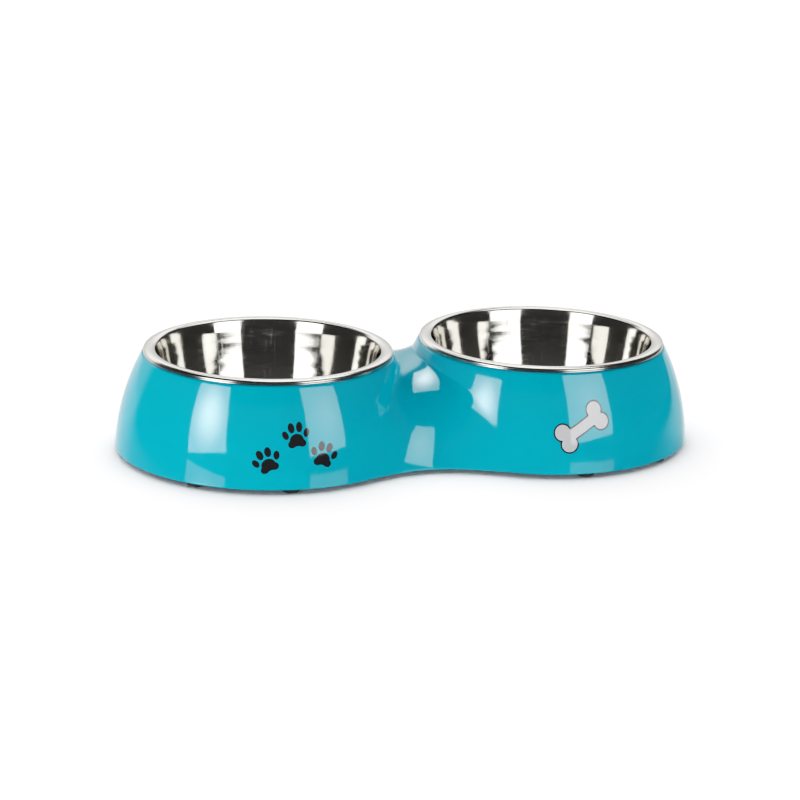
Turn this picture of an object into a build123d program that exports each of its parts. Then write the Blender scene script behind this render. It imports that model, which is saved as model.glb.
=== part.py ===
from build123d import *
import math
import os

# Double pet feeder: a hollow figure-eight stand moulded in one piece, open
# underneath, with two steel bowls that hang by their rolled rims in round
# openings and lift straight out, and eight push-in rubber feet.
#
# Frame: millimetres, +Z up, origin on the floor under the middle of the stand,
# +X along the line through both bowls, -Y is the front.

# ---- driving dimensions -----------------------------------------------------
HALF_PITCH = 80.0        # bowl axis from the middle of the stand, along X

FOOT_H = 2.5             # rubber showing under the stand
FOOT_D = 10.0            # foot disc
FOOT_ROUND = 0.7         # rounded lower edge of the disc
FOOT_RING_R = 78.4       # foot centres, measured from the bowl axis
FOOT_ANGLES = (2.5, 41.0)  # outward from straight ahead, inner and outer foot
STEM_D = 4.6             # stem of the foot
STEM_L = 6.0
SOCKET_D = 5.0           # blind hole that takes the stem
SOCKET_L = 7.0
BOSS_D = 10.0            # moulded boss around the socket
BOSS_H = 10.0

Z_BOTTOM = FOOT_H        # lower edge of the stand
Z_LEDGE = 56.4           # flat seat under the rims
WALL = 3.0               # wall and ledge thickness
OPENING_R = 64.3         # round openings that the bowls hang in

R_BOTTOM = 85.6          # lobe radius at the lower edge
R_DROP = 15.6            # lobe radius lost between the lower edge and Z_FULL
Z_FULL = 57.2
FLARE_LIN = 0.233        # straight share of the flared profile
FLARE_POW = 2.2          # power of the curved share
BLEND_LOW = 66.7         # width of the soft blend between the lobes, low down
Z_SADDLE = 49.4          # crest of the saddle between the bowls
BLEND_EVEN = 0.42        # share of the blend's narrowing that is spread over the height
EVEN_POW = 1.26          # power of that share
CREST_POW = 10.9         # power of the rest, which narrows mostly near the crest
BLEND_CURVE = 1.7        # how roundly the blend leaves each lobe, 2 is a parabola
BLEND_MIN = 6.0          # narrowest blend, above the crest
BLEND_SOFT = 3.0         # softness of that lower limit

SHEET = 0.7              # steel sheet of the bowls
COLLAR_R = 63.0          # inside radius of the rim, where its shoulder turns upright
COLLAR_LOW = 53.2        # lower end of the short flared collar under the rim
COLLAR_LEAN = 13.0       # flare of the collar from the upright
COLLAR_BEND = 39.0       # radius of the soft bend between the collar and the wall
RIM_R = 70.0             # outside radius of the rolled rim
RIM_TOP = 59.2           # crest of the rim
RIM_LIP = 56.5           # lower edge of the rolled lip
RIM_SHOULDER = 1.3       # radius of the rim's two shoulders
RIM_TILT = 20.0          # slope of the crown where it meets the shoulders
LIP_TURN = 95.0          # heading of the lip below the horizontal
BOWL_FLOOR_Z = 16.0      # inside of the bowl's floor
WALL_LOW = 24.0          # lower end of the wall, where it turns into the floor
WALL_LEAN_TOP = 9.5      # lean of the bowl's wall under the collar
WALL_LEAN_LOW = 19.0     # lean of the bowl's wall at its lower end
PAD_R = 30.0             # pressed flat in the middle of the floor
PAD_STEP = 0.8

# ---- outer surface of the stand ----------------------------------------------
def lobe_radius(z):
    s = (z - Z_BOTTOM) / (Z_FULL - Z_BOTTOM)
    curved = max(s, 0.0) ** FLARE_POW
    return R_BOTTOM - R_DROP * (FLARE_LIN * s + (1 - FLARE_LIN) * curved)


def blend_width(z):
    u = max((z - Z_BOTTOM) / (Z_SADDLE - Z_BOTTOM), 0.0)
    at_crest = 4 * (HALF_PITCH - lobe_radius(Z_SADDLE))
    narrowed = BLEND_EVEN * u ** EVEN_POW + (1 - BLEND_EVEN) * u ** CREST_POW
    k = BLEND_LOW + (at_crest - BLEND_LOW) * narrowed
    d = k - BLEND_MIN
    return BLEND_MIN + (d + math.sqrt(d * d + BLEND_SOFT ** 2)) / 2


def field(x, y, z):
    """Below zero inside the stand's outline, two flared lobes softly blended."""
    r = lobe_radius(z)
    k = blend_width(z) * BLEND_CURVE / 2
    a = math.hypot(x - HALF_PITCH, y) - r
    b = math.hypot(x + HALF_PITCH, y) - r
    h = max(1 - abs(a - b) / k, 0.0)
    return min(a, b) - h ** BLEND_CURVE * k / (2 * BLEND_CURVE)


def normal_at(x, y, z, e=1e-3):
    gx = field(x + e, y, z) - field(x - e, y, z)
    gy = field(x, y + e, z) - field(x, y - e, z)
    gz = field(x, y, z + e) - field(x, y, z - e)
    n = math.sqrt(gx * gx + gy * gy + gz * gz)
    return gx / n, gy / n, gz / n


def profile(phi, count, z_start=60.5, step=0.5):
    """Points down the outer wall on the half plane at angle phi about the bowl axis."""
    cp, sp = math.cos(phi), math.sin(phi)

    def f(r, z):
        return field(HALF_PITCH + r * cp, r * sp, z)

    def grad(r, z, e=1e-3):
        gr = (f(r + e, z) - f(r - e, z)) / (2 * e)
        gz = (f(r, z + e) - f(r, z - e)) / (2 * e)
        return gr, gz

    def onto(r, z):
        for _ in range(6):
            v = f(r, z)
            gr, gz = grad(r, z)
            g2 = gr * gr + gz * gz
            r, z = r - v * gr / g2, z - v * gz / g2
        return r, z

    lo, hi = 55.0, 79.0
    for _ in range(60):
        mid = (lo + hi) / 2
        if f(mid, z_start) < 0:
            lo = mid
        else:
            hi = mid
    r, z = lo, z_start

    def left(r, z):
        return (HALF_PITCH + r * cp + 4.0) * (z + 4.0) - 10.0

    pts = [(r, z)]
    while left(r, z) > 0 and len(pts) < 1000:
        gr, gz = grad(r, z)
        g = math.hypot(gr, gz)
        tr, tz = -gz / g, gr / g
        if tr < 0 and len(pts) == 1:
            tr, tz = -tr, -tz
        if len(pts) > 1:
            pr, pz = r - pts[-2][0], z - pts[-2][1]
            if tr * pr + tz * pz < 0:
                tr, tz = -tr, -tz
        r, z = onto(r + tr * step, z + tz * step)
        pts.append((r, z))
    # end exactly where the boundary function vanishes
    (r0, z0), (r1, z1) = pts[-2], pts[-1]
    a, b = 0.0, 1.0
    for _ in range(40):
        m = (a + b) / 2
        if left(r0 + (r1 - r0) * m, z0 + (z1 - z0) * m) > 0:
            a = m
        else:
            b = m
    pts[-1] = onto(r0 + (r1 - r0) * a, z0 + (z1 - z0) * a)
    lengths = [0.0]
    for i in range(1, len(pts)):
        lengths.append(lengths[-1] + math.dist(pts[i], pts[i - 1]))
    out = []
    j = 0
    for i in range(count):
        t = lengths[-1] * i / (count - 1)
        while j < len(pts) - 2 and lengths[j + 1] < t:
            j += 1
        w = (t - lengths[j]) / (lengths[j + 1] - lengths[j])
        w = min(max(w, 0.0), 1.0)
        q = onto(pts[j][0] + (pts[j + 1][0] - pts[j][0]) * w,
                 pts[j][1] + (pts[j + 1][1] - pts[j][1]) * w)
        out.append((HALF_PITCH + q[0] * cp, q[0] * sp, q[1]))
    return out


RAYS, ROWS = 67, 34
grid = [profile(math.radians(-8 + 196 * i / (RAYS - 1)), ROWS) for i in range(RAYS)]
outer_pts = [[Vector(*p) for p in row] for row in grid]
inner_pts = []
for row in grid:
    line = []
    for p in row:
        n = normal_at(*p)
        line.append(Vector(p[0] - WALL * n[0], p[1] - WALL * n[1], p[2] - WALL * n[2]))
    inner_pts.append(line)



def wall_surface(points):
    """One smooth face through the spline down each ray."""
    return Shell.make_loft([Wire([Edge.make_spline(row)]) for row in points]).faces()[0]


outer_face = wall_surface(outer_pts)
inner_face = wall_surface(inner_pts)


def quarter(face, z0, z1):
    """The quarter block x >= 0, y >= 0 inside the given wall surface."""
    block = Pos(0, 0, z0) * Box(200, 120, z1 - z0, align=(Align.MIN, Align.MIN, Align.MIN))
    pieces = block.split(face, keep=Keep.ALL)
    probe = Vector(HALF_PITCH, 5.0, (z0 + z1) / 2)
    for piece in pieces.solids() if hasattr(pieces, "solids") else pieces:
        if piece.is_inside(probe):
            return piece
    raise ValueError("wall surface did not split the block")


outer_quarter = quarter(outer_face, Z_BOTTOM, Z_LEDGE)
inner_quarter = quarter(inner_face, Z_BOTTOM - 1.0, Z_LEDGE - WALL)
shell = outer_quarter - inner_quarter
opening = Pos(HALF_PITCH, 0, 0) * Cylinder(OPENING_R, 200)
shell = shell - opening
print("quarter shell", shell.volume, shell.is_valid)

half = shell + mirror(shell, about=Plane.XZ)
base = half + mirror(half, about=Plane.YZ)

# ---- feet: places, bosses and sockets -----------------------------------------
feet_xy = {}
for side, sx in (("left", -1), ("right", 1)):
    for row, sy in (("front", -1), ("back", 1)):
        for place, ang in zip(("inner", "outer"), FOOT_ANGLES):
            a = math.radians(ang)
            feet_xy[f"foot_{row}_{side}_{place}"] = (
                sx * (HALF_PITCH + FOOT_RING_R * math.sin(a)),
                sy * FOOT_RING_R * math.cos(a))

for x, y in feet_xy.values():
    base = base + Pos(x, y, Z_BOTTOM) * Cylinder(
        BOSS_D / 2, BOSS_H, align=(Align.CENTER, Align.CENTER, Align.MIN))
for x, y in feet_xy.values():
    base = base - Pos(x, y, Z_BOTTOM) * Cylinder(
        SOCKET_D / 2, SOCKET_L, align=(Align.CENTER, Align.CENTER, Align.MIN))

# ---- one foot -------------------------------------------------------------------
disc = Cylinder(FOOT_D / 2, FOOT_H, align=(Align.CENTER, Align.CENTER, Align.MIN))
disc = fillet(disc.edges().group_by(Axis.Z)[0], FOOT_ROUND)
foot = disc + Pos(0, 0, FOOT_H) * Cylinder(
    STEM_D / 2, STEM_L, align=(Align.CENTER, Align.CENTER, Align.MIN))
foot = chamfer(foot.edges().group_by(Axis.Z)[-1], 0.6)

# ---- one bowl: a turned profile of the drawn sheet ------------------------------
def heading(deg):
    return math.cos(math.radians(deg)), math.sin(math.radians(deg))


t = SHEET
edges = []


def arc(start, head, radius, turn):
    e = JernArc(start, heading(head), radius, turn)
    edges.append(e)
    return e @ 1, head + turn


def run(start, end):
    edges.append(Line(start, end))
    return Vector(*end) if isinstance(end, tuple) else end


# the rim's crown: two shoulders joined by a flat arc, its crest at RIM_TOP
tilt = math.radians(RIM_TILT)
crown_span = (RIM_R - COLLAR_R) - 2 * RIM_SHOULDER + 2 * RIM_SHOULDER * math.sin(tilt)
crown_r = crown_span / (2 * math.sin(tilt))
z_shoulder = RIM_TOP - crown_r + (crown_r - RIM_SHOULDER) * math.cos(tilt)
# the collar, the bend and the wall, from the rim down
up = 90 - COLLAR_LEAN


def along(deg, length):
    c, s = heading(deg)
    return Vector(c * length, s * length)


collar_top = Vector(COLLAR_R + RIM_SHOULDER, z_shoulder) - along(up - 90, RIM_SHOULDER)
corner = collar_top - along(up, (collar_top.Y - COLLAR_LOW) / math.sin(math.radians(up)))
bend_turn = COLLAR_LEAN - WALL_LEAN_TOP
tangent = COLLAR_BEND * math.tan(math.radians(bend_turn / 2))
bend_top = corner + along(up, tangent)
bend_low = corner - along(90 - WALL_LEAN_TOP, tangent)
lean_a, lean_b = math.radians(WALL_LEAN_TOP), math.radians(WALL_LEAN_LOW)
wall_arc_r = (bend_low.Y - WALL_LOW) / (math.sin(lean_b) - math.sin(lean_a))
wall_low = bend_low - Vector(wall_arc_r * (math.cos(lean_a) - math.cos(lean_b)),
                             wall_arc_r * (math.sin(lean_b) - math.sin(lean_a)))
floor_arc_r = (WALL_LOW - BOWL_FLOOR_Z) / (1 - math.sin(lean_b))
floor_r = wall_low.X - floor_arc_r * math.cos(lean_b)

# inside, from the middle of the floor outward and up
p = run((0, BOWL_FLOOR_Z + PAD_STEP), (PAD_R, BOWL_FLOOR_Z + PAD_STEP))
p = run(p, (PAD_R + 1.5, BOWL_FLOOR_Z))
p = run(p, (floor_r, BOWL_FLOOR_Z))
p, h = arc(p, 0, floor_arc_r, 90 - WALL_LEAN_LOW)
p, h = arc(p, h, wall_arc_r, WALL_LEAN_LOW - WALL_LEAN_TOP)
p, h = arc(p, h, COLLAR_BEND, -bend_turn)
p = run(p, collar_top)
# over the rim and round the lip
p, h = arc(p, h, RIM_SHOULDER, -(up - RIM_TILT))
p, h = arc(p, h, crown_r, -2 * RIM_TILT)
p, h = arc(p, h, RIM_SHOULDER, -(LIP_TURN - RIM_TILT))
d = heading(h)
drop = p.Y - (RIM_LIP + t / 2)
p = run(p, (p.X + d[0] * drop / abs(d[1]), p.Y - drop))
p, h = arc(p, h, t / 2, -180)
d = heading(h)
p = run(p, (p.X + d[0] * drop / abs(d[1]), p.Y + drop))
# back along the underside of the rim and down the outside
p, h = arc(p, h, RIM_SHOULDER - t, LIP_TURN - RIM_TILT)
p, h = arc(p, h, crown_r - t, 2 * RIM_TILT)
p, h = arc(p, h, RIM_SHOULDER - t, up - RIM_TILT)
p = run(p, bend_top + along(up - 90, t))
p, h = arc(p, h, COLLAR_BEND - t, bend_turn)
p, h = arc(p, h, wall_arc_r + t, -(WALL_LEAN_LOW - WALL_LEAN_TOP))
p, h = arc(p, h, floor_arc_r + t, -(90 - WALL_LEAN_LOW))
p = run(p, (PAD_R + 1.5 - 0.3, BOWL_FLOOR_Z - t))
p = run(p, (PAD_R - 0.3, BOWL_FLOOR_Z + PAD_STEP - t))
p = run(p, (0, BOWL_FLOOR_Z + PAD_STEP - t))
run(p, (0, BOWL_FLOOR_Z + PAD_STEP))

section = Plane.XZ * Face(Wire(edges))
bowl = revolve(section, axis=Axis.Z)
print("bowl", bowl.volume, bowl.is_valid, "sections", section.area)

# ---- write ------------------------------------------------------------------------
os.makedirs("parts", exist_ok=True)


def save(shape, name):
    solid = shape.solids()
    assert len(solid) == 1, (name, len(solid))
    solid = solid[0]
    solid.label = name
    export_step(solid, f"parts/{name}.step")
    print(name, round(solid.volume, 2), solid.is_valid, solid.bounding_box())


save(base, "base_shell")
save(Pos(-HALF_PITCH, 0, 0) * bowl, "bowl_left")
save(Pos(HALF_PITCH, 0, 0) * bowl, "bowl_right")
for name, (x, y) in feet_xy.items():
    save(Pos(x, y, 0) * foot, name)
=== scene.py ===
import math

import bpy
import numpy as np
from mathutils import Matrix, Vector


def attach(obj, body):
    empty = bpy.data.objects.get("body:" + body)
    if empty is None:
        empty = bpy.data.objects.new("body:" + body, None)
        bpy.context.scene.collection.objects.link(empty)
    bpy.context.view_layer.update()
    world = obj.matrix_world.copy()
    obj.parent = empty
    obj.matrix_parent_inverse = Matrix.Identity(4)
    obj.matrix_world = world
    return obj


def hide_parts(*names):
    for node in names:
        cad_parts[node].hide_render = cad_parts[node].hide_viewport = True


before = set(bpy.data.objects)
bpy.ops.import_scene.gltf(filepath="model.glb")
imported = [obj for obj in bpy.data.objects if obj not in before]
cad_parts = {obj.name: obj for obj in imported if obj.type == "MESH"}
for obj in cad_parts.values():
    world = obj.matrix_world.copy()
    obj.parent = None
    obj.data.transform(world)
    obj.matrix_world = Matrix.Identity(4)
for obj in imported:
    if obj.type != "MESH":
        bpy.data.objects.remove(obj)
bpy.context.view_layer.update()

MM = 0.001
FLOOR_LIGHT = 3.75    # brightness of the wide light over the floor
FLOOR_GLOW = 0.02     # light of the floor's own near the object
TABLE_GLOW = 0.9      # brightness of the lit back of the table in reflections
TABLE_MIRROR = 0.35

# ---------------------------------------------------------------- dimensions
# All lengths are in millimetres, in the frame of the CAD model: the origin is
# on the floor between the two bowls, +X runs to the right bowl, -Y to the front.

BOWL_X = 80.0
STAND_BOTTOM = 2.5
LEDGE_TOP = 56.4
LEDGE_UNDER = 53.4
WALL = 3.0
OPENING_R = 64.3
SADDLE_TOP = 49.4
BLEND_CURVE = 1.7     # how roundly the blend leaves each lobe
LIP_DROP = 0.9        # height of the rounding along the stand's upper edge
FOOT_EDGE = 0.8       # rounding along the stand's lower edge
OPENING_EDGE = 0.5    # rounding of the bowl openings
SHEET = 0.7           # steel of the bowls
COLLAR_LEAN = 13.0    # flare of the short collar under the rim, in degrees
COLLAR_LOW = 53.2
COLLAR_BEND = 39.0    # soft bend between collar and wall
WALL_LEAN_TOP = 9.5   # the wall leans more and more towards the floor
WALL_LEAN_LOW = 19.0
WALL_LOW = 24.0
FLOOR_Z = 16.0        # inside of the bowl's floor

FEET = {
    "inner": (83.42, 78.325),
    "outer": (131.435, 59.169),
}


def lobe_radius(z):
    s = (z - 2.5) / 54.7
    return 85.6 - 15.6 * (0.233 * s + 0.767 * np.maximum(s, 0.0) ** 2.2)


CREST_WIDTH = 4.0 * (BOWL_X - float(lobe_radius(np.float64(SADDLE_TOP))))


def blend_width(z):
    u = np.maximum((z - 2.5) / 46.9, 0.0)
    k = 66.7 + (CREST_WIDTH - 66.7) * (0.42 * u ** 1.26 + 0.58 * u ** 10.9)
    d = k - 6.0
    return 6.0 + 0.5 * (d + np.sqrt(d * d + 9.0))


def field(x, y, z):
    """Signed, roughly metric: below zero inside the two blended lobes."""
    r = lobe_radius(z)
    k = blend_width(z) * BLEND_CURVE / 2.0
    a = np.hypot(x - BOWL_X, y) - r
    b = np.hypot(x + BOWL_X, y) - r
    h = np.maximum(1.0 - np.abs(a - b) / k, 0.0)
    return np.minimum(a, b) - h ** BLEND_CURVE * k / (2.0 * BLEND_CURVE)


def gradient(x, y, z, e=0.01):
    return np.stack(
        [
            (field(x + e, y, z) - field(x - e, y, z)) / (2 * e),
            (field(x, y + e, z) - field(x, y - e, z)) / (2 * e),
            (field(x, y, z + e) - field(x, y, z - e)) / (2 * e),
        ],
        axis=-1,
    )


def unit(v):
    return v / np.maximum(np.linalg.norm(v, axis=-1, keepdims=True), 1e-9)


# ------------------------------------------------------------- mesh helpers


def mesh_object(name, verts, faces, materials, indices=None, smooth=True):
    me = bpy.data.meshes.new(name)
    me.from_pydata([tuple(c * MM for c in v) for v in verts], [], faces)
    for m in materials:
        me.materials.append(m)
    if indices is not None:
        me.polygons.foreach_set("material_index", np.asarray(indices, dtype=np.int32))
    me.polygons.foreach_set("use_smooth", [smooth] * len(me.polygons))
    me.update()
    me.validate()
    ob = bpy.data.objects.new(name, me)
    bpy.context.scene.collection.objects.link(ob)
    return ob


def revolve(profile, segments, centre=(0.0, 0.0)):
    """Turns a closed (r, z) profile whose ends lie on the axis. Faces point outwards
    when the profile runs up the outside."""
    verts, faces, rings = [], [], []
    ang = np.arange(segments) * (2 * math.pi / segments)
    ca, sa = np.cos(ang), np.sin(ang)
    for r, z in profile:
        if r < 1e-9:
            rings.append([len(verts)])
            verts.append((centre[0], centre[1], z))
        else:
            rings.append(list(range(len(verts), len(verts) + segments)))
            verts.extend(
                (centre[0] + r * c, centre[1] + r * s, z) for c, s in zip(ca, sa)
            )
    for a, b in zip(rings[:-1], rings[1:]):
        for i in range(segments):
            j = (i + 1) % segments
            if len(a) == 1 and len(b) == 1:
                continue
            if len(a) == 1:
                faces.append((a[0], b[j], b[i]))
            elif len(b) == 1:
                faces.append((a[i], a[j], b[0]))
            else:
                faces.append((a[i], a[j], b[j], b[i]))
    return verts, faces


def arc(cx, cz, radius, start, end, count):
    return [
        (
            cx + radius * math.cos(math.radians(t)),
            cz + radius * math.sin(math.radians(t)),
        )
        for t in np.linspace(start, end, count)
    ]


def line(p, q, count):
    return [
        (p[0] + (q[0] - p[0]) * t, p[1] + (q[1] - p[1]) * t)
        for t in np.linspace(0.0, 1.0, count)
    ]


def chain(*runs):
    out = []
    for run in runs:
        for p in run:
            if not out or math.hypot(p[0] - out[-1][0], p[1] - out[-1][1]) > 1e-4:
                out.append(p)
    return out


# ------------------------------------------------------------ node helpers


class Nodes:
    """Small helper that adds nodes to a material and links them."""

    def __init__(self, material):
        material.use_nodes = True
        self.tree = material.node_tree
        self.tree.nodes.clear()
        self.x = 0

    def add(self, kind, **props):
        n = self.tree.nodes.new(kind)
        self.x += 40
        n.location = (self.x, 0)
        for k, v in props.items():
            setattr(n, k, v)
        return n

    def link(self, a, b):
        self.tree.links.new(a, b)

    def put(self, socket, value):
        if hasattr(value, "is_output"):
            self.link(value, socket)
        else:
            socket.default_value = value

    def math(self, op, a, b=None, c=None, clamp=False):
        n = self.add("ShaderNodeMath", operation=op, use_clamp=clamp)
        self.put(n.inputs[0], a)
        if b is not None:
            self.put(n.inputs[1], b)
        if c is not None:
            self.put(n.inputs[2], c)
        return n.outputs[0]

    def vec(self, op, a, b=None):
        n = self.add("ShaderNodeVectorMath", operation=op)
        self.put(n.inputs[0], a)
        if b is not None:
            self.put(n.inputs[1], b)
        return n.outputs["Value"] if op in ("LENGTH", "DOT_PRODUCT", "DISTANCE") else n.outputs["Vector"]

    def combine(self, x, y, z):
        n = self.add("ShaderNodeCombineXYZ")
        for s, v in zip(n.inputs, (x, y, z)):
            self.put(s, v)
        return n.outputs[0]

    def separate(self, v):
        n = self.add("ShaderNodeSeparateXYZ")
        self.link(v, n.inputs[0])
        return n.outputs

    def noise(self, vector, scale, detail=2.0, roughness=0.5, distortion=0.0):
        n = self.add("ShaderNodeTexNoise")
        self.link(vector, n.inputs["Vector"])
        n.inputs["Scale"].default_value = scale
        n.inputs["Detail"].default_value = detail
        n.inputs["Roughness"].default_value = roughness
        n.inputs["Distortion"].default_value = distortion
        return n.outputs["Fac"]

    def spread(self, value, lo, hi, a, b, smooth=False):
        n = self.add("ShaderNodeMapRange")
        n.interpolation_type = "SMOOTHSTEP" if smooth else "LINEAR"
        n.clamp = True
        self.link(value, n.inputs["Value"])
        n.inputs["From Min"].default_value = lo
        n.inputs["From Max"].default_value = hi
        n.inputs["To Min"].default_value = a
        n.inputs["To Max"].default_value = b
        return n.outputs["Result"]

    def mix(self, fac, a, b):
        n = self.add("ShaderNodeMix", data_type="RGBA")
        self.put(n.inputs[0], fac)
        self.put(n.inputs[6], a)
        self.put(n.inputs[7], b)
        return n.outputs[2]

    def bump(self, height, strength, distance, normal=None):
        n = self.add("ShaderNodeBump")
        n.inputs["Strength"].default_value = strength
        n.inputs["Distance"].default_value = distance
        self.link(height, n.inputs["Height"])
        if normal is not None:
            self.link(normal, n.inputs["Normal"])
        return n.outputs["Normal"]

    def surface(self, shader):
        out = self.add("ShaderNodeOutputMaterial")
        self.link(shader, out.inputs["Surface"])


# --------------------------------------------------------------- materials

TURQUOISE = (0.0, 0.42, 0.56, 1.0)
TURQUOISE_DEEP = (0.0, 0.395, 0.535, 1.0)
PRINT_BLACK = (0.012, 0.012, 0.014, 1.0)
PRINT_GREY = (0.60, 0.62, 0.63, 1.0)


def lobe_map(n, cx):
    """Coordinates on one lobe's front wall in millimetres: along the curve, and height."""
    tc = n.add("ShaderNodeTexCoord")
    x, y, z = n.separate(tc.outputs["Object"])
    turn = n.math("ARCTAN2", n.math("SUBTRACT", x, cx * MM), n.math("MULTIPLY", y, -1.0))
    along = n.math("MULTIPLY", turn, 82.5)
    up = n.math("MULTIPLY", z, 1000.0)
    return n.combine(along, up, 0.0)


def blob(n, at, centre, radii, turn=0.0):
    """Distance in units of its own radii from the middle of an ellipse."""
    m = n.add("ShaderNodeMapping", vector_type="TEXTURE")
    n.link(at, m.inputs["Vector"])
    m.inputs["Location"].default_value = (centre[0], centre[1], 0.0)
    m.inputs["Rotation"].default_value = (0.0, 0.0, math.radians(turn))
    m.inputs["Scale"].default_value = (radii[0], radii[1], 1.0)
    return n.vec("LENGTH", m.outputs["Vector"])


def smallest(n, values):
    out = values[0]
    for v in values[1:]:
        out = n.math("SMOOTH_MIN", out, v, 0.12)
    return out


def paw(n, at, centre, size, turn):
    """One paw print: a three-part pad and four toes. Below 1 inside."""
    c, s = math.cos(math.radians(turn)), math.sin(math.radians(turn))

    def place(u, v):
        return (centre[0] + size * (u * c - v * s), centre[1] + size * (u * s + v * c))

    def part(u, v, a, b, t):
        return blob(n, at, place(u, v), (size * a, size * b), turn + t)

    pad = smallest(
        n,
        [
            part(0.0, -0.22, 0.40, 0.34, 0),
            part(-0.27, -0.40, 0.26, 0.22, 20),
            part(0.27, -0.40, 0.26, 0.22, -20),
        ],
    )
    toes = [
        part(-0.62, 0.10, 0.17, 0.25, 24),
        part(-0.24, 0.45, 0.19, 0.28, 8),
        part(0.24, 0.45, 0.19, 0.28, -8),
        part(0.62, 0.10, 0.17, 0.25, -24),
    ]
    out = pad
    for t in toes:
        out = n.math("MINIMUM", out, t)
    return out


def bone(n, at, centre, turn, half, knob, shaft):
    """Distance in millimetres from the outline of a bone, below zero inside."""
    m = n.add("ShaderNodeMapping", vector_type="TEXTURE")
    n.link(at, m.inputs["Vector"])
    m.inputs["Location"].default_value = (centre[0], centre[1], 0.0)
    m.inputs["Rotation"].default_value = (0.0, 0.0, math.radians(turn))
    x, y, _ = n.separate(m.outputs["Vector"])
    ax, ay = n.math("ABSOLUTE", x), n.math("ABSOLUTE", y)
    ends = n.math(
        "SUBTRACT",
        n.vec("LENGTH", n.combine(n.math("SUBTRACT", ax, half), n.math("SUBTRACT", ay, knob * 0.74), 0.0)),
        knob,
    )
    rod = n.math("MAXIMUM", n.math("SUBTRACT", ay, shaft), n.math("SUBTRACT", ax, half))
    return n.math("SMOOTH_MIN", ends, rod, 1.4)


def melamine(name, printed):
    mat = bpy.data.materials.new(name)
    n = Nodes(mat)
    tc = n.add("ShaderNodeTexCoord")
    at = tc.outputs["Object"]
    cloud = n.noise(at, 26.0, 3.0, 0.55)
    colour = n.mix(n.spread(cloud, 0.3, 0.7, 0.0, 1.0), TURQUOISE, TURQUOISE_DEEP)
    fine = n.noise(at, 900.0, 2.0, 0.5)
    if printed:
        left = lobe_map(n, -BOWL_X)
        paws = paw(n, left, (-17.5, 18.5), 9.6, 24)
        for c, t in (((-1.5, 31.5), 6), ((13.5, 20.5), -16)):
            paws = n.math("MINIMUM", paws, paw(n, left, c, 9.6, t))
        ink = n.spread(paws, 0.97, 1.03, 1.0, 0.0, True)
        colour = n.mix(ink, colour, PRINT_BLACK)
        right = lobe_map(n, BOWL_X)
        d = bone(n, right, (-0.5, 28.5), 32, 11.0, 5.0, 3.5)
        inside = n.spread(d, -0.05, 0.05, 1.0, 0.0, True)
        colour = n.mix(inside, colour, PRINT_GREY)
        edge = n.spread(n.math("ABSOLUTE", n.math("ADD", d, 0.3)), 0.36, 0.46, 1.0, 0.0, True)
        colour = n.mix(edge, colour, PRINT_BLACK)
    rough = n.spread(n.noise(at, 140.0, 3.0, 0.6), 0.3, 0.7, 0.035, 0.075)
    if not printed:
        rough = n.spread(fine, 0.3, 0.7, 0.27, 0.33)
    flow = n.bump(n.noise(at, 55.0, 1.0, 0.4), 0.10, 0.0006)
    peel = n.bump(fine, 0.03, 0.0001, flow)
    p = n.add("ShaderNodeBsdfPrincipled")
    n.link(colour, p.inputs["Base Color"])
    n.link(rough, p.inputs["Roughness"])
    n.link(peel, p.inputs["Normal"])
    p.inputs["IOR"].default_value = 1.52
    n.surface(p.outputs[0])
    return mat


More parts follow.
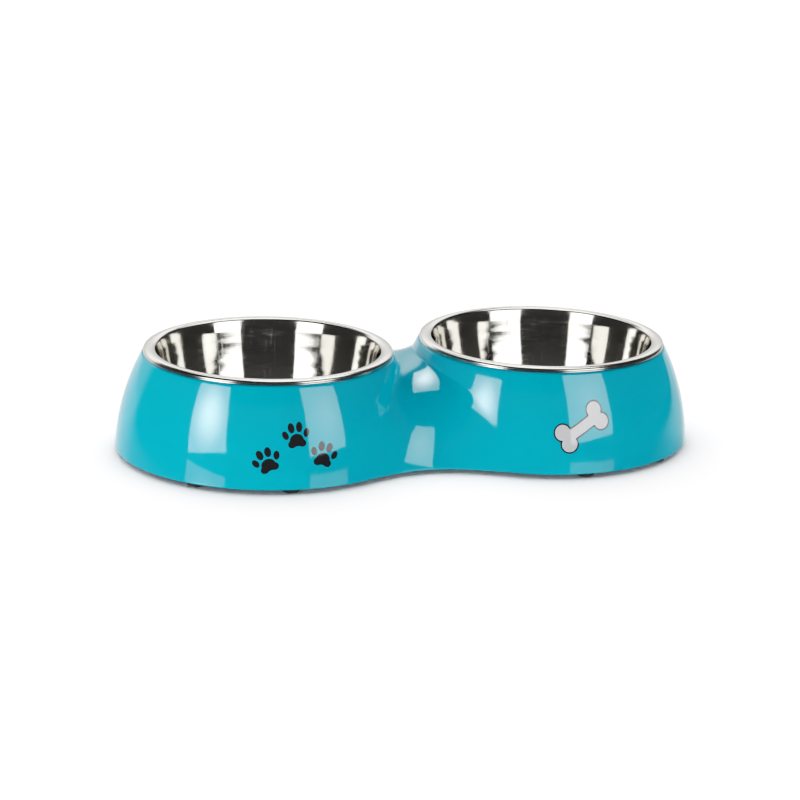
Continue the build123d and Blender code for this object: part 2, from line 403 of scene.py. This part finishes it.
def steel(name, cx):
    mat = bpy.data.materials.new(name)
    n = Nodes(mat)
    tc = n.add("ShaderNodeTexCoord")
    x, y, z = n.separate(tc.outputs["Object"])
    dx = n.math("SUBTRACT", x, cx * MM)
    radius = n.vec("LENGTH", n.combine(dx, y, 0.006))
    turn = n.math("ARCTAN2", y, dx)
    on_wall = n.spread(z, 0.0175, 0.027, 0.0, 1.0, True)
    off_rim = n.spread(radius, 0.0626, 0.0640, 1.0, 0.0, True)
    # polishing marks run round the bowl: long in the turning direction, fine across it
    around = n.math("DIVIDE", 0.012, n.math("MAXIMUM", radius, 0.02))
    ring = n.combine(
        n.math("MULTIPLY", dx, around),
        n.math("MULTIPLY", y, around),
        n.math("ADD", n.math("MULTIPLY", z, 3.0), n.math("MULTIPLY", radius, 3.0)),
    )
    lines = n.noise(ring, 620.0, 4.0, 0.65)
    wide = n.noise(ring, 34.0, 1.0, 0.4)
    smear = n.noise(tc.outputs["Object"], 48.0, 3.0, 0.6)
    # drawing marks run up the wall
    up_lines = n.noise(
        n.combine(n.math("MULTIPLY", turn, 0.3), n.math("MULTIPLY", z, 0.35), n.math("MULTIPLY", radius, 0.2)),
        210.0,
        3.0,
        0.6,
    )
    shade = n.mix(n.spread(lines, 0.25, 0.75, 0.0, 1.0), (0.66, 0.645, 0.60, 1.0), (0.74, 0.725, 0.685, 1.0))
    rough = n.math("ADD", n.spread(lines, 0.3, 0.7, 0.03, 0.07), n.spread(smear, 0.35, 0.7, 0.0, 0.025))
    # the rolled rim is brushed rather than polished
    rough = n.math("ADD", rough, n.spread(off_rim, 0.0, 1.0, 0.11, 0.0))
    # fine scratches are rougher than the polish between them
    marks = n.math(
        "ADD",
        n.spread(lines, 0.56, 0.72, 0.0, 0.12),
        n.math("MULTIPLY", on_wall, n.spread(up_lines, 0.58, 0.74, 0.0, 0.13)),
    )
    patchy = n.math("MULTIPLY", off_rim, n.spread(smear, 0.3, 0.62, 0.25, 1.0))
    rough = n.math("ADD", rough, n.math("MULTIPLY", marks, patchy))
    swell = n.math("MULTIPLY", off_rim, n.math("ADD", n.math("MULTIPLY", on_wall, 0.85), 0.15))
    wave = n.bump(n.math("MULTIPLY", wide, swell), 0.5, 0.00022)
    fine = n.math("ADD", n.math("MULTIPLY", off_rim, 0.85), 0.15)
    scratch = n.bump(n.math("MULTIPLY", lines, fine), 0.04, 0.0001, wave)
    p = n.add("ShaderNodeBsdfPrincipled")
    n.link(shade, p.inputs["Base Color"])
    n.link(rough, p.inputs["Roughness"])
    n.link(scratch, p.inputs["Normal"])
    p.inputs["Metallic"].default_value = 1.0
    n.surface(p.outputs[0])
    return mat


def rubber(name):
    mat = bpy.data.materials.new(name)
    n = Nodes(mat)
    tc = n.add("ShaderNodeTexCoord")
    grain = n.noise(tc.outputs["Object"], 2600.0, 3.0, 0.6)
    dust = n.noise(tc.outputs["Object"], 320.0, 2.0, 0.5)
    colour = n.mix(n.spread(dust, 0.45, 0.75, 0.0, 1.0), (0.012, 0.012, 0.012, 1.0), (0.030, 0.030, 0.031, 1.0))
    rough = n.spread(grain, 0.3, 0.7, 0.55, 0.8)
    normal = n.bump(grain, 0.35, 0.0001)
    p = n.add("ShaderNodeBsdfPrincipled")
    n.link(colour, p.inputs["Base Color"])
    n.link(rough, p.inputs["Roughness"])
    n.link(normal, p.inputs["Normal"])
    n.surface(p.outputs[0])
    return mat


stand_outside = melamine("stand_melamine", True)
stand_inside = melamine("stand_melamine_inside", False)
steel_left = steel("bowl_steel_left", -BOWL_X)
steel_right = steel("bowl_steel_right", BOWL_X)
foot_black = rubber("foot_rubber_black")


# ------------------------------------------------------------------- stand


def outer_walls(rays, waist, count):
    """For each ray about the right bowl's axis, points down the outer wall, evenly
    spaced, from just under the rounded upper edge to the lower edge, or to the
    middle plane where the two lobes run together."""
    co, si = np.cos(rays), np.sin(rays)
    si[-1] = 0.0
    si[0] = 0.0
    top = LEDGE_TOP - LIP_DROP
    low = STAND_BOTTOM + FOOT_EDGE

    def f(r, z):
        return field(BOWL_X + r * co, r * si, z)

    lo = np.full_like(rays, 55.0)
    hi = np.where(co < -0.5, BOWL_X / np.maximum(-co, 0.5), 90.0)
    for _ in range(60):
        mid = 0.5 * (lo + hi)
        inside = f(mid, np.full_like(mid, top)) < 0
        lo, hi = np.where(inside, mid, lo), np.where(inside, hi, mid)
    r, z = 0.5 * (lo + hi), np.full_like(rays, top)
    e, step = 0.01, 0.2
    path = [(r.copy(), z.copy())]
    for _ in range(520):
        gr = (f(r + e, z) - f(r - e, z)) / (2 * e)
        gz = (f(r, z + e) - f(r, z - e)) / (2 * e)
        g = np.hypot(gr, gz)
        r, z = r + step * gz / g, z - step * gr / g
        for _ in range(3):
            gr = (f(r + e, z) - f(r - e, z)) / (2 * e)
            gz = (f(r, z + e) - f(r, z - e)) / (2 * e)
            v = f(r, z) / (gr * gr + gz * gz)
            r, z = r - v * gr, z - v * gz
        path.append((r.copy(), z.copy()))
    path = np.array(path)
    out = np.zeros((len(rays), count, 3))
    for j in range(len(rays)):
        pr, pz = path[:, 0, j], path[:, 1, j]
        if rays[j] <= waist + 1e-9:
            stop = int(np.argmax(pz <= low))
            t = (pz[stop - 1] - low) / (pz[stop - 1] - pz[stop])
        else:
            edge = -BOWL_X / co[j]
            stop = int(np.argmax(pr >= edge))
            t = (edge - pr[stop - 1]) / (pr[stop] - pr[stop - 1])
        er = pr[stop - 1] + t * (pr[stop] - pr[stop - 1])
        ez = pz[stop - 1] + t * (pz[stop] - pz[stop - 1])
        pr = np.append(pr[:stop], er)
        pz = np.append(pz[:stop], ez)
        run = np.concatenate([[0.0], np.cumsum(np.hypot(np.diff(pr), np.diff(pz)))])
        at = np.linspace(0.0, run[-1], count)
        rr, zz = np.interp(at, run, pr), np.interp(at, run, pz)
        out[j, :, 0] = BOWL_X + rr * co[j]
        out[j, :, 1] = rr * si[j]
        out[j, :, 2] = zz
        if rays[j] > waist - 1e-9:
            out[j, -1, 0] = 0.0
    return out


def build_stand():
    low = STAND_BOTTOM + FOOT_EDGE
    a, b = 40.0, 80.0
    for _ in range(60):
        m = 0.5 * (a + b)
        if field(np.float64(0.0), np.float64(m), np.float64(low)) < 0:
            a = m
        else:
            b = m
    waist = math.atan2(0.5 * (a + b), -BOWL_X)
    rays = np.concatenate(
        [np.linspace(0.0, waist, 90), np.linspace(waist, math.pi, 51)[1:]]
    )
    last = 89  # the ray through the waist's lower corner
    co, si = np.cos(rays), np.sin(rays)
    si[0] = si[-1] = 0.0
    wall = outer_walls(rays, waist, 74)
    normal = unit(gradient(wall[..., 0], wall[..., 1], wall[..., 2]))
    flat = normal.copy()
    flat[..., 2] = 0.0
    flat = unit(flat)

    strip_a, strip_b, strip_c = [], [], []
    for j in range(len(rays)):
        def spot(r, z):
            return (BOWL_X + r * co[j], r * si[j], z)

        p0, p1 = wall[j, 0], wall[j, 1]
        r0 = math.hypot(p0[0] - BOWL_X, p0[1])
        r1 = math.hypot(p1[0] - BOWL_X, p1[1])
        lean = (r0 - r1) / (p0[2] - p1[2])
        rm = r0 + lean * LIP_DROP
        r2 = rm - 0.9
        rows = [spot(OPENING_R, LEDGE_UNDER), spot(OPENING_R, 54.6), spot(OPENING_R, LEDGE_TOP - OPENING_EDGE)]
        for r, z in arc(OPENING_R + OPENING_EDGE, LEDGE_TOP - OPENING_EDGE, OPENING_EDGE, 180, 90, 6)[1:]:
            rows.append(spot(r, z))
        for t in (0.35, 0.7, 1.0):
            rows.append(spot(OPENING_R + OPENING_EDGE + (r2 - OPENING_R - OPENING_EDGE) * t, LEDGE_TOP))
        for t in np.linspace(0.0, 1.0, 9)[1:-1]:
            u = 1.0 - t
            rows.append(
                spot(
                    u * u * r2 + 2 * u * t * rm + t * t * r0,
                    u * u * LEDGE_TOP + 2 * u * t * LEDGE_TOP + t * t * p0[2],
                )
            )
        first_wall = len(rows)
        rows.extend(tuple(p) for p in wall[j])
        strip_a.append(rows)

        w = np.clip((wall[j, :, 2:3] - low) / 8.0, 0.0, 1.0)
        way = unit(normal[j] * w + flat[j] * (1.0 - w))
        inner = (wall[j] - WALL * way)[::-1]
        over = np.argmax(inner[:, 2] >= LEDGE_UNDER)
        t = (LEDGE_UNDER - inner[over - 1, 2]) / (inner[over, 2] - inner[over - 1, 2])
        end = inner[over - 1] + t * (inner[over] - inner[over - 1])
        inner = np.vstack([inner[:over], end])
        run = np.concatenate([[0.0], np.cumsum(np.linalg.norm(np.diff(inner, axis=0), axis=1))])
        at = np.linspace(0.0, run[-1], 34)
        inner = np.stack([np.interp(at, run, inner[:, c]) for c in range(3)], axis=1)
        if rays[j] > waist - 1e-9:
            inner[0, 0] = 0.0
        if j in (0, len(rays) - 1):
            inner[:, 1] = 0.0
        rows = [tuple(p) for p in inner]
        rim = np.array(spot(OPENING_R, LEDGE_UNDER))
        for t in (0.34, 0.67):
            rows.append(tuple(inner[-1] + (rim - inner[-1]) * t))
        strip_b.append(rows)

        if j <= last:
            p, h = wall[j, -1], flat[j, -1]
            rows = []
            for t in np.linspace(0.0, 90.0, 6)[1:]:
                c, s = math.cos(math.radians(t)), math.sin(math.radians(t))
                q = p - h * FOOT_EDGE * (1.0 - c)
                rows.append((q[0], q[1], low - FOOT_EDGE * s))
            for t in np.linspace(90.0, 0.0, 6)[:-1]:
                c, s = math.cos(math.radians(t)), math.sin(math.radians(t))
                q = p - h * (WALL - FOOT_EDGE * (1.0 - c))
                rows.append((q[0], q[1], low - FOOT_EDGE * s))
            if j == last:
                rows = [(0.0, y, z) for _, y, z in rows]
            if j == 0:
                rows = [(x, 0.0, z) for x, _, z in rows]
            strip_c.append(rows)

    # one quarter: right lobe, +Y side
    verts, faces, marks = [], [], []
    a_id = [[0] * len(strip_a[0]) for _ in rays]
    b_id = [[0] * len(strip_b[0]) for _ in rays]
    c_id = [[0] * len(strip_c[0]) for _ in strip_c]
    for ids, strips in ((a_id, strip_a), (b_id, strip_b), (c_id, strip_c)):
        for j, rows in enumerate(strips):
            for i, p in enumerate(rows):
                ids[j][i] = len(verts)
                verts.append(p)

    def sheet(columns, mark):
        for left, right in zip(columns[:-1], columns[1:]):
            for i in range(len(left) - 1):
                faces.append((left[i], left[i + 1], right[i + 1], right[i]))
                marks.append(mark(i))

    sheet(a_id, lambda i: 0 if i >= 3 else 1)
    sheet([ids + [a[0]] for ids, a in zip(b_id, a_id)], lambda i: 1)
    sheet(
        [[a_id[j][-1]] + c_id[j] + [b_id[j][0]] for j in range(last + 1)],
        lambda i: 0 if i < 6 else 1,
    )

    # the other three quarters are mirror images, joined along the two middle planes
    whole, index, all_faces, all_marks = [], {}, [], []
    for sx in (1, -1):
        for sy in (1, -1):
            ids = []
            for x, y, z in verts:
                p = (x * sx, y * sy, z)
                key = tuple(int(round(c * 1e5)) for c in p)
                if key not in index:
                    index[key] = len(whole)
                    whole.append(p)
                ids.append(index[key])
            for f, m in zip(faces, marks):
                g = [ids[i] for i in f]
                all_faces.append(tuple(g if sx * sy > 0 else g[::-1]))
                all_marks.append(m)

    # bosses with blind sockets for the stems of the feet
    for sx in (1, -1):
        for sy in (1, -1):
            for x, y in FEET.values():
                ring = chain(
                    [(0.0, 9.5), (1.3, 9.5), (2.5, 9.5)],
                    [(2.5, 6.0), (2.5, 2.9)],
                    arc(2.9, 2.9, 0.4, 180, 270, 4),
                    [(3.6, 2.5), (4.5, 2.5)],
                    arc(4.5, 3.0, 0.5, 270, 360, 5),
                    [(5.0, 6.0), (5.0, 9.0), (5.0, 11.7)],
                    arc(4.2, 11.7, 0.8, 0, 90, 6),
                    [(2.0, 12.5), (0.0, 12.5)],
                )
                v, f = revolve(ring, 40, (x * sx, y * sy))
                base = len(whole)
                whole.extend(v)
                all_faces.extend(tuple(i + base for i in q) for q in f)
                all_marks.extend([1] * len(f))

    ob = mesh_object("stand_shell", whole, all_faces, [stand_outside, stand_inside], all_marks)
    return ob


# ------------------------------------------------------------------- bowls


def bowl_profile():
    """The drawn sheet from the middle of the floor up the inside, over the rolled
    rim, round its lip and back down the outside."""
    up = math.radians(90.0 - COLLAR_LEAN)
    a, b = math.radians(WALL_LEAN_TOP), math.radians(WALL_LEAN_LOW)
    top = (64.3 - 1.3 * math.sin(up), 57.512 + 1.3 * math.cos(up))
    fall = (top[1] - COLLAR_LOW) / math.sin(up)
    corner = (top[0] - fall * math.cos(up), COLLAR_LOW)
    tangent = COLLAR_BEND * math.tan(math.radians((COLLAR_LEAN - WALL_LEAN_TOP) / 2))
    bend_top = (corner[0] + tangent * math.cos(up), corner[1] + tangent * math.sin(up))
    bend_low = (corner[0] - tangent * math.sin(a), corner[1] - tangent * math.cos(a))
    bend = (bend_top[0] + COLLAR_BEND * math.sin(up), bend_top[1] - COLLAR_BEND * math.cos(up))
    wall_r = (bend_low[1] - WALL_LOW) / (math.sin(b) - math.sin(a))
    wall = (bend_low[0] - wall_r * math.cos(a), bend_low[1] + wall_r * math.sin(a))
    low = (wall[0] + wall_r * math.cos(b), wall[1] - wall_r * math.sin(b))
    turn_r = (WALL_LOW - FLOOR_Z) / (1.0 - math.sin(b))
    turn = (low[0] - turn_r * math.cos(b), low[1] + turn_r * math.sin(b))
    flare = 180.0 - COLLAR_LEAN
    step_in = [(30.0 + 1.5 * t, 16.8 - 0.8 * (0.5 - 0.5 * math.cos(math.pi * t))) for t in np.linspace(0, 1, 9)]
    step_out = [(30.0 + 1.5 * t, 16.1 - 0.8 * (0.5 - 0.5 * math.cos(math.pi * t))) for t in np.linspace(1, 0, 7)]
    return chain(
        [(0.0, 16.8)],
        line((1.5, 16.8), (28.0, 16.8), 9),
        [(29.2, 16.8)],
        step_in,
        line((32.3, 16.0), (turn[0], 16.0), 6),
        arc(turn[0], turn[1], turn_r, -90, -WALL_LEAN_LOW, 24),
        arc(wall[0], wall[1], wall_r, -WALL_LEAN_LOW, -WALL_LEAN_TOP, 30),
        arc(bend[0], bend[1], COLLAR_BEND, 180.0 - WALL_LEAN_TOP, flare, 7),
        line(bend_top, top, 5),
        arc(64.3, 57.512, 1.3, flare, 110, 12),
        arc(66.5, 51.468, 7.732, 110, 70, 14),
        arc(68.7, 57.512, 1.3, 70, -5, 13),
        line((69.995, 57.399), (69.944, 56.82), 4),
        arc(69.596, 56.85, 0.35, -5, -185, 11),
        line((69.247, 56.88), (69.298, 57.46), 3),
        arc(68.7, 57.512, 0.6, -5, 70, 8),
        arc(66.5, 51.468, 7.032, 70, 110, 10),
        arc(64.3, 57.512, 0.6, 110, flare, 8),
        line(
            (64.3 - 0.6 * math.sin(up), 57.512 + 0.6 * math.cos(up)),
            (bend_top[0] + SHEET * math.sin(up), bend_top[1] - SHEET * math.cos(up)),
            4,
        ),
        arc(bend[0], bend[1], COLLAR_BEND - SHEET, flare, 180.0 - WALL_LEAN_TOP, 4),
        arc(wall[0], wall[1], wall_r + SHEET, -WALL_LEAN_TOP, -WALL_LEAN_LOW, 18),
        arc(turn[0], turn[1], turn_r + SHEET, -WALL_LEAN_LOW, -90, 16),
        line((turn[0] - 1.5, 15.3), (32.3, 15.3), 5),
        step_out,
        line((28.5, 16.1), (2.0, 16.1), 8),
        [(0.0, 16.1)],
    )


def build_bowl(name, cx, material):
    verts, faces = revolve(bowl_profile(), 300, (cx, 0.0))
    return mesh_object(name, verts, [f[::-1] for f in faces], [material])


# -------------------------------------------------------------------- feet


def build_foot(name, x, y):
    ring = chain(
        [(0.0, 0.0)],
        line((0.8, 0.0), (4.3, 0.0), 5),
        arc(4.3, 0.7, 0.7, 270, 360, 7),
        line((5.0, 1.0), (5.0, 2.2), 4),
        arc(4.7, 2.2, 0.3, 0, 90, 4),
        line((4.2, 2.5), (2.3, 2.5), 4),
        line((2.3, 3.2), (2.3, 7.9), 5),
        [(1.7, 8.5), (0.8, 8.5), (0.0, 8.5)],
    )
    verts, faces = revolve(ring, 56, (x, y))
    return mesh_object(name, verts, faces, [foot_black])


stand = build_stand()
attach(stand, "stand")
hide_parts("base_shell")

bowls, feet = [], []
for name, body, node, cx, material in (
    ("steel_bowl_left", "left_bowl", "bowl_left", -BOWL_X, steel_left),
    ("steel_bowl_right", "right_bowl", "bowl_right", BOWL_X, steel_right),
):
    bowl = build_bowl(name, cx, material)
    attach(bowl, body)
    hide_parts(node)
    bowls.append(bowl)

for side, sy in (("front", -1), ("back", 1)):
    for hand, sx in (("left", -1), ("right", 1)):
        for place, (x, y) in FEET.items():
            foot = build_foot("rubber_foot_%s_%s_%s" % (side, hand, place), x * sx, y * sy)
            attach(foot, "stand")
            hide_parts("foot_%s_%s_%s" % (side, hand, place))
            feet.append(foot)


# ------------------------------------------------------- floor, light, camera


def floor_material():
    """A plain white studio floor. Away from the object it glows a little, as a lit
    sweep does. In reflections it is a polished dark table, lit only at the back."""
    mat = bpy.data.materials.new("floor_white")
    n = Nodes(mat)
    tc = n.add("ShaderNodeTexCoord")
    at = tc.outputs["Object"]
    x, y, _ = n.separate(at)
    tone = n.noise(at, 3.0, 2.0, 0.5)
    colour = n.mix(tone, (0.90, 0.85, 0.855, 1.0), (0.92, 0.87, 0.875, 1.0))
    white = n.add("ShaderNodeBsdfPrincipled")
    n.link(colour, white.inputs["Base Color"])
    white.inputs["Roughness"].default_value = 0.9
    white.inputs["Specular IOR Level"].default_value = 0.0
    # light spreads a little inside the white board and softens the shadow at the feet
    white.inputs["Subsurface Weight"].default_value = 1.0
    white.inputs["Subsurface Radius"].default_value = (1.0, 0.96, 1.0)
    white.inputs["Subsurface Scale"].default_value = 0.017
    white.inputs["Emission Color"].default_value = (1.0, 1.0, 1.0, 1.0)
    n.link(n.spread(n.vec("LENGTH", at), 0.22, 0.9, FLOOR_GLOW, 1.6, True), white.inputs["Emission Strength"])
    left = n.math("ADD", y, n.math("ADD", n.math("MULTIPLY", x, 1.116), 0.247))
    right = n.math("SUBTRACT", y, n.math("SUBTRACT", n.math("MULTIPLY", x, 0.804), 0.317))
    wedge = n.math(
        "MULTIPLY",
        n.spread(left, -0.05, 0.12, 0.0, 1.0, True),
        n.spread(right, -0.05, 0.12, 0.0, 1.0, True),
    )
    wedge = n.math("MULTIPLY", wedge, n.spread(y, -0.09, 0.0, 0.0, 1.0, True))
    glow = n.add("ShaderNodeEmission")
    n.link(n.math("MULTIPLY", wedge, TABLE_GLOW), glow.inputs["Strength"])
    gloss = n.add("ShaderNodeBsdfGlossy")
    gloss.inputs["Color"].default_value = (TABLE_MIRROR, TABLE_MIRROR, TABLE_MIRROR, 1.0)
    gloss.inputs["Roughness"].default_value = 0.04
    table = n.add("ShaderNodeAddShader")
    n.link(glow.outputs[0], table.inputs[0])
    n.link(gloss.outputs[0], table.inputs[1])
    path = n.add("ShaderNodeLightPath")
    both = n.add("ShaderNodeMixShader")
    n.link(path.outputs["Is Glossy Ray"], both.inputs[0])
    n.link(white.outputs[0], both.inputs[1])
    n.link(table.outputs[0], both.inputs[2])
    n.surface(both.outputs[0])
    return mat


def build_floor():
    half = 9000.0
    ob = mesh_object(
        "floor",
        [(-half, -half, 0.0), (half, -half, 0.0), (half, half, 0.0), (-half, half, 0.0)],
        [(0, 1, 2, 3)],
        [floor_material()],
        smooth=False,
    )
    return ob


floor = build_floor()


def softbox(name, centre, half_w, half_h, radiance, hot=0.0, toward=(0.0, 0.0, 30.0)):
    """A rectangular studio light. Its power follows from how bright its face is,
    and hot makes its middle brighter than its edges."""
    c, w, h = Vector(centre), Vector(half_w), Vector(half_h)
    x = w.normalized()
    y = (h - x * h.dot(x)).normalized()
    z = x.cross(y)
    if z.dot(Vector(toward) - c) > 0:
        x, z = -x, -z
    lamp = bpy.data.lights.new(name, "AREA")
    lamp.shape = "RECTANGLE"
    lamp.size = 2 * w.length * MM
    lamp.size_y = 2 * h.length * MM
    lamp.energy = radiance * math.pi * lamp.size * lamp.size_y
    if hot > 0.0:
        lamp.use_nodes = True
        t = lamp.node_tree
        t.nodes.clear()
        where = t.nodes.new("ShaderNodeNewGeometry")
        off = t.nodes.new("ShaderNodeVectorMath")
        off.operation = "DISTANCE"
        off.inputs[1].default_value = (0.5, 0.5, 0.0)
        t.links.new(where.outputs["Parametric"], off.inputs[0])
        level = t.nodes.new("ShaderNodeMapRange")
        level.interpolation_type = "SMOOTHSTEP"
        level.inputs["From Min"].default_value = 0.0
        level.inputs["From Max"].default_value = 0.55
        level.inputs["To Min"].default_value = 1.0 + hot
        level.inputs["To Max"].default_value = 1.0
        t.links.new(off.outputs["Value"], level.inputs["Value"])
        glow = t.nodes.new("ShaderNodeEmission")
        t.links.new(level.outputs["Result"], glow.inputs["Strength"])
        out = t.nodes.new("ShaderNodeOutputLight")
        t.links.new(glow.outputs[0], out.inputs[0])
    ob = bpy.data.objects.new(name, lamp)
    ob.matrix_world = Matrix(
        (
            (x[0], y[0], z[0], c[0] * MM),
            (x[1], y[1], z[1], c[1] * MM),
            (x[2], y[2], z[2], c[2] * MM),
            (0.0, 0.0, 0.0, 1.0),
        )
    )
    bpy.context.scene.collection.objects.link(ob)
    return ob


def aim(lights, name, objects, soft=True, gloss=True):
    """Keeps a set of studio lights to the given objects, and to their soft shading
    or to their gloss."""
    group = bpy.data.collections.new(name)
    for ob in objects:
        group.objects.link(ob)
    for lamp in lights:
        lamp.light_linking.receiver_collection = group
        lamp.visible_diffuse = soft
        lamp.visible_glossy = gloss


LEFT = ((-840, -463, 362), (112, -206, 37), (-16, 35, 303))
RIGHT = ((395, -669, 319), (248, 31, 16), (-25, 52, 246))
TOP = ((200, 640, 1000), (340, 30, 0), (-40, 560, 0))

aim(
    [
        softbox("left_gloss", *LEFT, 6.5, 2.0),
        softbox("right_gloss", *RIGHT, 4.5, 0.35),
        softbox("top_gloss", *TOP, 4.4, 1.7),
    ],
    "gloss_of_stand",
    [stand] + feet,
    soft=False,
)
aim(
    [softbox("left_fill", *LEFT, 7.9), softbox("right_fill", *RIGHT, 3.9), softbox("top_fill", *TOP, 5.4)],
    "fill_of_stand",
    [stand] + feet,
    gloss=False,
)
aim(
    [softbox("left_steel", *LEFT, 2.6, 0.3), softbox("right_steel", *RIGHT, 2.5), softbox("top_steel", *TOP, 2.0)],
    "gloss_of_bowls",
    bowls,
    soft=False,
)
aim(
    [softbox("left_table", *LEFT, 6.5, 2.0), softbox("right_table", *RIGHT, 4.5, 0.35)],
    "gloss_of_table",
    [floor],
    soft=False,
)
aim(
    [
        softbox("floor_light", (0, 500, 1400), (1200, 0, 0), (0, 1200, 0), FLOOR_LIGHT),
        softbox("left_floor", *LEFT, 2.4),
        softbox("right_floor", *RIGHT, 1.5),
    ],
    "fill_of_floor",
    [floor],
    gloss=False,
)


def soften_highlights(view):
    """Rolls the highlights off gently, as a camera does, so they keep some tone."""
    view.use_curve_mapping = True
    tone = view.curve_mapping
    tone.clip_max_x = 1.5
    tone.extend = "EXTRAPOLATED"
    curve = tone.curves[3]
    curve.points[0].location = (0.0, 0.0)
    curve.points[1].location = (1.5, 1.0)
    for at in ((0.2, 0.2), (0.42, 0.42), (0.65, 0.58), (0.87, 0.72), (1.1, 0.85)):
        curve.points.new(*at)
    tone.update()


def build_world():
    world = bpy.data.worlds.new("studio")
    bpy.context.scene.world = world
    world.use_nodes = True
    t = world.node_tree
    t.nodes.clear()
    tc = t.nodes.new("ShaderNodeTexCoord")
    sep = t.nodes.new("ShaderNodeSeparateXYZ")
    t.links.new(tc.outputs["Generated"], sep.inputs[0])
    # a white sweep stands behind the object, the rest of the studio is dim
    back = t.nodes.new("ShaderNodeMapRange")
    back.interpolation_type = "SMOOTHSTEP"
    back.inputs["From Min"].default_value = 0.66
    back.inputs["From Max"].default_value = 0.80
    back.inputs["To Min"].default_value = 0.04
    back.inputs["To Max"].default_value = 1.0
    t.links.new(sep.outputs[1], back.inputs["Value"])
    top = t.nodes.new("ShaderNodeMapRange")
    top.interpolation_type = "SMOOTHSTEP"
    top.inputs["From Min"].default_value = 0.48
    top.inputs["From Max"].default_value = 0.54
    top.inputs["To Min"].default_value = 1.0
    top.inputs["To Max"].default_value = 0.05
    t.links.new(sep.outputs[2], top.inputs["Value"])
    level = t.nodes.new("ShaderNodeMath")
    level.operation = "MULTIPLY"
    t.links.new(back.outputs["Result"], level.inputs[0])
    t.links.new(top.outputs["Result"], level.inputs[1])
    rise = t.nodes.new("ShaderNodeMapRange")
    rise.interpolation_type = "SMOOTHSTEP"
    rise.inputs["From Min"].default_value = 0.15
    rise.inputs["From Max"].default_value = 0.48
    rise.inputs["To Min"].default_value = 1.0
    rise.inputs["To Max"].default_value = 2.3
    t.links.new(sep.outputs[2], rise.inputs["Value"])
    brighter = t.nodes.new("ShaderNodeMath")
    brighter.operation = "MULTIPLY"
    t.links.new(level.outputs[0], brighter.inputs[0])
    t.links.new(rise.outputs["Result"], brighter.inputs[1])
    seen = t.nodes.new("ShaderNodeLightPath")
    level2 = t.nodes.new("ShaderNodeMath")
    level2.operation = "MULTIPLY_ADD"
    level2.inputs[1].default_value = 2.0
    t.links.new(seen.outputs["Is Camera Ray"], level2.inputs[0])
    t.links.new(brighter.outputs[0], level2.inputs[2])
    bg = t.nodes.new("ShaderNodeBackground")
    t.links.new(level2.outputs[0], bg.inputs["Strength"])
    out = t.nodes.new("ShaderNodeOutputWorld")
    t.links.new(bg.outputs[0], out.inputs["Surface"])


build_world()

cam = bpy.data.cameras.new("camera")
cam.sensor_fit = "HORIZONTAL"
cam.sensor_width = 36.0
cam.lens = 123.587
cam.clip_start, cam.clip_end = 0.05, 40.0
cam.dof.use_dof = False
camera = bpy.data.objects.new("camera", cam)
right = Vector((0.96719797, -0.25256969, 0.02714111))
up = Vector((0.04590183, 0.27885712, 0.95923497))
ahead = Vector((0.24984218, 0.92652429, -0.28130345))
camera.matrix_world = Matrix(
    (
        (right[0], up[0], -ahead[0], -0.3940886),
        (right[1], up[1], -ahead[1], -1.4509647),
        (right[2], up[2], -ahead[2], 0.4649097),
        (0.0, 0.0, 0.0, 1.0),
    )
)
bpy.context.scene.collection.objects.link(camera)
bpy.context.scene.camera = camera

bpy.context.scene.view_settings.view_transform = "Standard"
bpy.context.scene.view_settings.look = "None"
bpy.context.scene.view_settings.exposure = 0.0
bpy.context.scene.view_settings.gamma = 1.0
soften_highlights(bpy.context.scene.view_settings)

bpy.context.view_layer.update()
